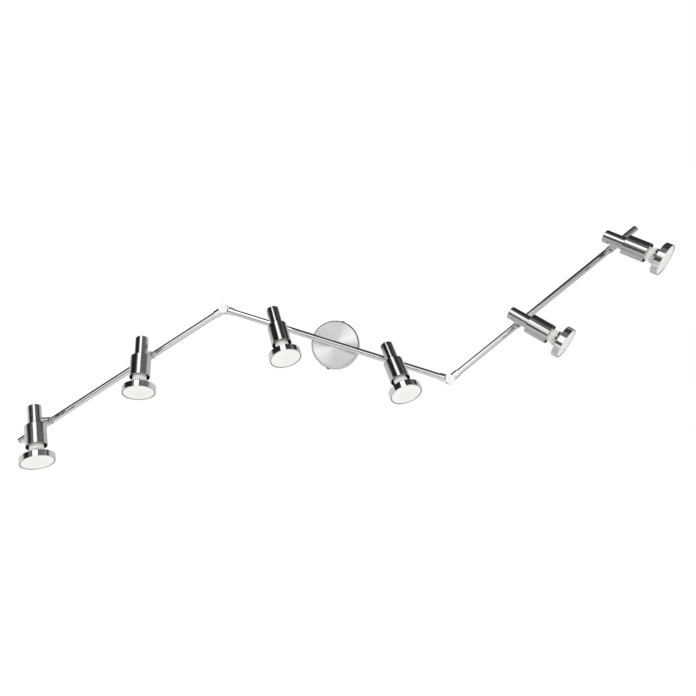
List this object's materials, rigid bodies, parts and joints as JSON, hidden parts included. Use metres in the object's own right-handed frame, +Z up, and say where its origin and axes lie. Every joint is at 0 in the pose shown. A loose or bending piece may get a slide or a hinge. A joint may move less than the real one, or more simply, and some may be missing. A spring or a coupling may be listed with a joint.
{
  "type": "swivel arm spotlight bar",
  "caption": "Zigzag spotlight bar: round bars hinged end to end by knuckles on a round canopy, with slotted barrel heads that turn, tilt and hold push-in reflector lamps.",
  "frame": {"origin": "centre of the canopy's back, on the wall, at the middle of the two wall screws", "axes": "+X to the right along the wall, +Y into the wall, +Z up the wall; the room is towards -Y"},
  "size_m": [1.059, 0.1314, 0.4012],
  "materials": {
    "satin_nickel": "satin nickel plate, brushed along the tubes",
    "bright_chrome": "polished",
    "zinc_steel": "zinc plated",
    "end_plug": "moulded black",
    "lampholder": "unglazed ceramic",
    "lamp_shell": "clear ribbed neck, metallised rim",
    "lamp_diffuser": "frosted",
    "terminal_nylon": "moulded nylon",
    "lead_sleeve": "silicone sleeve"
  },
  "bodies": {
    "root": {"wall_bracket": "zinc_steel", "terminal_block": "terminal_nylon", "lead_wires": "lead_sleeve", "canopy": "satin_nickel", "canopy_screws": "bright_chrome", "canopy_stem": "satin_nickel", "centre_bar": "satin_nickel", "centre_saddles": "satin_nickel", "knuckle_seats": "bright_chrome", "knuckle_screws": "bright_chrome"},
    "left_arm": {"left_knuckle_half": "bright_chrome", "left_arm_bar": "satin_nickel", "left_saddles": "satin_nickel", "left_end_plug": "end_plug"},
    "right_arm": {"right_knuckle_half": "bright_chrome", "right_arm_bar": "satin_nickel", "right_saddles": "satin_nickel", "right_end_plug": "end_plug"},
    "spot_1_swivel": {"spot_1_post": "satin_nickel"},
    "spot_1_head": {"spot_1_barrel": "satin_nickel", "spot_1_pin": "bright_chrome", "spot_1_sleeve": "satin_nickel", "spot_1_holder": "lampholder", "spot_1_lamp": "lamp_shell", "spot_1_lens": "lamp_diffuser"},
    "spot_2_swivel": {"spot_2_post": "satin_nickel"},
    "spot_2_head": {"spot_2_barrel": "satin_nickel", "spot_2_pin": "bright_chrome", "spot_2_sleeve": "satin_nickel", "spot_2_holder": "lampholder", "spot_2_lamp": "lamp_shell", "spot_2_lens": "lamp_diffuser"},
    "spot_3_swivel": {"spot_3_post": "satin_nickel"},
    "spot_3_head": {"spot_3_barrel": "satin_nickel", "spot_3_pin": "bright_chrome", "spot_3_sleeve": "satin_nickel", "spot_3_holder": "lampholder", "spot_3_lamp": "lamp_shell", "spot_3_lens": "lamp_diffuser"},
    "spot_4_swivel": {"spot_4_post": "satin_nickel"},
    "spot_4_head": {"spot_4_barrel": "satin_nickel", "spot_4_pin": "bright_chrome", "spot_4_sleeve": "satin_nickel", "spot_4_holder": "lampholder", "spot_4_lamp": "lamp_shell", "spot_4_lens": "lamp_diffuser"},
    "spot_5_swivel": {"spot_5_post": "satin_nickel"},
    "spot_5_head": {"spot_5_barrel": "satin_nickel", "spot_5_pin": "bright_chrome", "spot_5_sleeve": "satin_nickel", "spot_5_holder": "lampholder", "spot_5_lamp": "lamp_shell", "spot_5_lens": "lamp_diffuser"},
    "spot_6_swivel": {"spot_6_post": "satin_nickel"},
    "spot_6_head": {"spot_6_barrel": "satin_nickel", "spot_6_pin": "bright_chrome", "spot_6_sleeve": "satin_nickel", "spot_6_holder": "lampholder", "spot_6_lamp": "lamp_shell", "spot_6_lens": "lamp_diffuser"}
  },
  "joints": [
    {"name": "left_arm_swing", "type": "hinge", "parent": "root", "child": "left_arm", "pos_m": [-0.18958, -0.027, 0.0605], "axis": [0, -1, 0], "range_deg": [-135.9, 34.1]},
    {"name": "right_arm_swing", "type": "hinge", "parent": "root", "child": "right_arm", "pos_m": [0.18958, -0.027, -0.0605], "axis": [0, -1, 0], "range_deg": [-141.4, 28.6]},
    {"name": "spot_1_turn", "type": "hinge", "parent": "left_arm", "child": "spot_1_swivel", "pos_m": [-0.47743, -0.027, -0.12786], "axis": [0, -1, 0], "range_deg": [-170, 170]},
    {"name": "spot_1_tilt", "type": "hinge", "parent": "spot_1_swivel", "child": "spot_1_head", "pos_m": [-0.47743, -0.067, -0.12786], "axis": [-0.9336, 0, -0.3584], "range_deg": [-21, 69]},
    {"name": "spot_2_turn", "type": "hinge", "parent": "left_arm", "child": "spot_2_swivel", "pos_m": [-0.31007, -0.027, -0.01835], "axis": [0, -1, 0], "range_deg": [-170, 170]},
    {"name": "spot_2_tilt", "type": "hinge", "parent": "spot_2_swivel", "child": "spot_2_head", "pos_m": [-0.31007, -0.067, -0.01835], "axis": [-0.9877, 0, -0.1564], "range_deg": [-22, 68]},
    {"name": "spot_3_turn", "type": "hinge", "parent": "root", "child": "spot_3_swivel", "pos_m": [-0.09241, -0.027, 0.02949], "axis": [0, -1, 0], "range_deg": [-170, 170]},
    {"name": "spot_3_tilt", "type": "hinge", "parent": "spot_3_swivel", "child": "spot_3_head", "pos_m": [-0.09241, -0.067, 0.02949], "axis": [-0.9455, 0, -0.3256], "range_deg": [-24.5, 65.5]},
    {"name": "spot_4_turn", "type": "hinge", "parent": "root", "child": "spot_4_swivel", "pos_m": [0.09241, -0.027, -0.02949], "axis": [0, -1, 0], "range_deg": [-170, 170]},
    {"name": "spot_4_tilt", "type": "hinge", "parent": "spot_4_swivel", "child": "spot_4_head", "pos_m": [0.09241, -0.067, -0.02949], "axis": [-0.9455, 0, -0.3256], "range_deg": [-29.5, 60.5]},
    {"name": "spot_5_turn", "type": "hinge", "parent": "right_arm", "child": "spot_5_swivel", "pos_m": [0.30196, -0.027, 0.02953], "axis": [0, -1, 0], "range_deg": [-170, 170]},
    {"name": "spot_5_tilt", "type": "hinge", "parent": "spot_5_swivel", "child": "spot_5_head", "pos_m": [0.30196, -0.067, 0.02953], "axis": [-0.6088, 0, -0.7934], "range_deg": [-21, 69]},
    {"name": "spot_6_turn", "type": "hinge", "parent": "right_arm", "child": "spot_6_swivel", "pos_m": [0.45805, -0.027, 0.15458], "axis": [0, -1, 0], "range_deg": [-170, 170]},
    {"name": "spot_6_tilt", "type": "hinge", "parent": "spot_6_swivel", "child": "spot_6_head", "pos_m": [0.45805, -0.067, 0.15458], "axis": [-0.6157, 0, -0.788], "range_deg": [-26.5, 63.5]}
  ]
}
